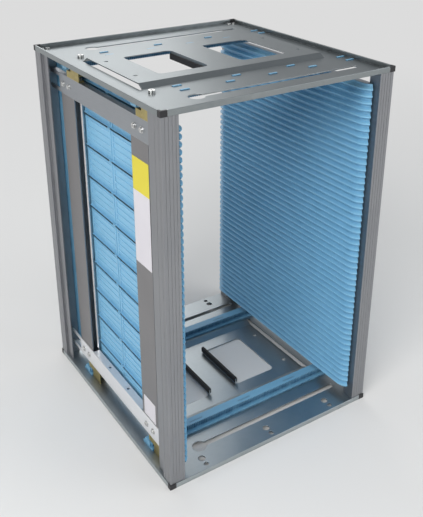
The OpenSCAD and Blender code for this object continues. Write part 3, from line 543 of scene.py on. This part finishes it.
def makeGuideCrests(s):
    # flat crests on the stiffening ribs behind both guides
    finish = finishes["guide_plastic"]
    for node, body, outward in (("movable_guide", "movable_wall", -1), ("fixed_guide", "frame", 1)):
        straight = [v.co for v in nodes[node].data.vertices if abs(v.co.y) < s["ribReach"]]
        backX = (min if outward == -1 else max)(c.x for c in straight)
        backs = [c for c in straight if abs(c.x - backX) < s["flatness"]]
        ySpan = max(abs(c.y) for c in backs)
        heights = sorted({round(c.z, 5) for c in backs})
        ribZ = [(heights[i] + heights[i + 1]) / 2 for i in range(0, len(heights) - 1, 2)]
        rows = []
        length = ySpan - s["gap"]
        rise = (ribZ[-1] - ribZ[0]) / (len(ribZ) - 1)
        for side in (-1, 1):
            start = (backX - outward * (s["thick"] / 2), side * (s["gap"] + length / 2), ribZ[0])
            rows.append(growRow(
                rowTree, Count=len(ribZ), Start=start, Step=(0, 0, rise),
                Size=(s["thick"], length, s["lip"]), Finish=finish))
        joinRows(f"{node}_crests", rows, finish, body)


makeGuideCrests(guideCrests)

screwCollars = dict(radius=4.0 * mm, wall=1.2 * mm, thickness=0.5 * mm, proud=0.45, spacing=20 * mm)


def makeScrewCollars(s):
    # thin washers round the heads of the strip screws
    finish = finishes["screw_steel"]
    for side, body, outward in (("wall", "movable_wall", -1), ("fixed", "frame", 1)):
        rows = []
        for end in ("front", "rear"):
            stripLow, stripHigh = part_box(f"{side}_strip_{end}")
            middle = (stripLow[1] + stripHigh[1]) / 2
            for level in ("bottom", "top"):
                barLow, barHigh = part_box(f"{side}_crossbar_{level}")
                face = barLow[0] if outward == -1 else barHigh[0]
                seatX = face + outward * s["thickness"] * s["proud"]
                start = (seatX, middle - s["spacing"] / 2, (barLow[2] + barHigh[2]) / 2)
                rows.append(growRow(
                    collarTree, Count=2, Start=start, Step=(0, s["spacing"], 0), Radius=s["radius"],
                    Wall=s["wall"], Thickness=s["thickness"], Finish=finish))
        joinRows(f"{side}_collars", rows, finish, body)


makeScrewCollars(screwCollars)


# camera

cameraSettings = dict(
    place=(-0.5772, -0.9043, 0.826), tilt=66.72, turn=-33.05, focal=754.3, axisHeight=181.0,
    frameHeight=517, sensor=36.0, clip=(0.05, 40))


def makeCamera(s):
    data = bpy.data.cameras.new("camera")
    camera = bpy.data.objects.new("camera", data)
    scene.collection.objects.link(camera)
    camera.location = s["place"]
    camera.rotation_euler = (math.radians(s["tilt"]), 0, math.radians(s["turn"]))
    data.sensor_width = s["sensor"]
    data.lens = s["focal"] / s["frameHeight"] * s["sensor"]
    data.shift_y = (s["axisHeight"] - s["frameHeight"] / 2) / s["frameHeight"]
    data.clip_start, data.clip_end = s["clip"]
    scene.camera = camera


makeCamera(cameraSettings)
print("camera set")


# floor, world and lamps

stageSettings = dict(
    floorSize=30.0, floorTone=(0.70, 0.70, 0.695), backdrop=(0.716, 0.716, 0.716), fade=(0.7, 2.4),
    skyTone=(0.96, 0.98, 1.0), skyStrength=0.62, overheadTone=(0.30, 0.31, 0.33), overheadRange=(0.0, 0.4),
    behindTone=(0.22, 0.23, 0.25), behindRange=(-0.9, 0.2))


def smoothRange(tree, value, reach, ends, at):
    node = addNode(tree, "ShaderNodeMapRange", at, interpolation_type="SMOOTHSTEP")
    tree.links.new(value, node.inputs["Value"])
    for name, number in zip(("From Min", "From Max", "To Min", "To Max"), (*reach, *ends)):
        node.inputs[name].default_value = number
    return node.outputs["Result"]


def seenDirectly(tree, at):
    # 1 for camera, glossy and transmission rays, 0 for the light that falls on the part
    path = addNode(tree, "ShaderNodeLightPath", at)
    cameraRay = path.outputs["Is Camera Ray"]
    seen = math2(tree, "ADD", cameraRay, path.outputs["Is Glossy Ray"], (at[0] + 200, at[1]))
    seen = math2(tree, "ADD", seen, path.outputs["Is Transmission Ray"], (at[0] + 400, at[1]), clamp=True)
    return seen, cameraRay


def makeFloor(s):
    half = s["floorSize"] / 2
    mesh = bpy.data.meshes.new("floor")
    corners = [(-half, -half, 0), (half, -half, 0), (half, half, 0), (-half, half, 0)]
    mesh.from_pydata(corners, [], [(0, 1, 2, 3)])
    floor = bpy.data.objects.new("floor", mesh)
    scene.collection.objects.link(floor)
    material = bpy.data.materials.new("paleFloor")
    material.use_nodes = True
    tree = material.node_tree
    tree.nodes.clear()
    output = addNode(tree, "ShaderNodeOutputMaterial", (900, 0))
    matte = addNode(tree, "ShaderNodeBsdfDiffuse", (0, 100))
    matte.inputs["Color"].default_value = (*s["floorTone"], 1)
    glow = addNode(tree, "ShaderNodeEmission", (0, -100))
    glow.inputs["Color"].default_value = (*s["backdrop"], 1)
    # away from the object the floor passes into the plain backdrop
    coords = addNode(tree, "ShaderNodeTexCoord", (-900, -300))
    reach = addNode(tree, "ShaderNodeVectorMath", (-700, -300), operation="LENGTH")
    tree.links.new(coords.outputs["Object"], reach.inputs[0])
    fade = smoothRange(tree, reach.outputs["Value"], s["fade"], (0, 1), (-500, -300))
    seen = seenDirectly(tree, (-900, 300))[0]
    share = math2(tree, "MULTIPLY", seen, fade, (-200, 0))
    mix = addNode(tree, "ShaderNodeMixShader", (500, 0))
    tree.links.new(share, mix.inputs[0])
    tree.links.new(matte.outputs[0], mix.inputs[1])
    tree.links.new(glow.outputs[0], mix.inputs[2])
    tree.links.new(mix.outputs[0], output.inputs[0])
    mesh.materials.append(material)


def makeWorld(s):
    world = bpy.data.worlds.new("studio")
    scene.world = world
    world.use_nodes = True
    tree = world.node_tree
    tree.nodes.clear()
    output = addNode(tree, "ShaderNodeOutputWorld", (900, 0))
    sky = addNode(tree, "ShaderNodeBackground", (300, 150))
    sky.inputs["Color"].default_value = (*s["skyTone"], 1)
    sky.inputs["Strength"].default_value = s["skyStrength"]
    backdrop = addNode(tree, "ShaderNodeBackground", (300, -150))
    seen, cameraRay = seenDirectly(tree, (-300, 400))
    # the room seen in the metal: pale towards the backdrop, darker overhead and behind the camera
    coords = addNode(tree, "ShaderNodeTexCoord", (-900, -200))
    parts = addNode(tree, "ShaderNodeSeparateXYZ", (-700, -200))
    tree.links.new(coords.outputs["Generated"], parts.inputs[0])
    height = smoothRange(tree, parts.outputs["Z"], s["overheadRange"], (0, 1), (-450, -100))
    overhead = mixColour(tree, height, s["backdrop"], s["overheadTone"], (-150, -150))
    behind = smoothRange(tree, parts.outputs["Y"], s["behindRange"], (1, 0), (-450, -400))
    room = mixColour(tree, behind, overhead, s["behindTone"], (50, -250))
    shown = mixColour(tree, cameraRay, room, s["backdrop"], (150, -400))
    tree.links.new(shown, backdrop.inputs["Color"])
    mix = addNode(tree, "ShaderNodeMixShader", (600, 0))
    tree.links.new(seen, mix.inputs[0])
    tree.links.new(sky.outputs[0], mix.inputs[1])
    tree.links.new(backdrop.outputs[0], mix.inputs[2])
    tree.links.new(mix.outputs[0], output.inputs[0])


lampSettings = {
    "keyLamp": dict(
        place=(-1.7, -1.2, 1.9), aim=(0, 0, 0.25), size=(1.6, 1.2), power=46, tone=(1.0, 0.98, 0.96)),
    "fillLamp": dict(
        place=(1.8, -1.8, 1.4), aim=(0, 0, 0.25), size=(1.8, 1.4), power=16, tone=(0.96, 0.98, 1.0)),
    "rearLamp": dict(
        place=(0.4, 2.2, 1.6), aim=(0, 0, 0.2), size=(1.8, 1.0), power=12, tone=(1.0, 1.0, 1.0)),
}


def makeLamp(name, s):
    data = bpy.data.lights.new(name, "AREA")
    data.shape = "RECTANGLE"
    data.size, data.size_y = s["size"]
    data.energy = s["power"]
    data.color = s["tone"]
    lamp = bpy.data.objects.new(name, data)
    scene.collection.objects.link(lamp)
    lamp.location = s["place"]
    aim = Vector(s["aim"]) - Vector(s["place"])
    lamp.rotation_euler = aim.to_track_quat("-Z", "Y").to_euler()


makeFloor(stageSettings)
makeWorld(stageSettings)
for lampName, settings in lampSettings.items():
    makeLamp(lampName, settings)
print("stage made")
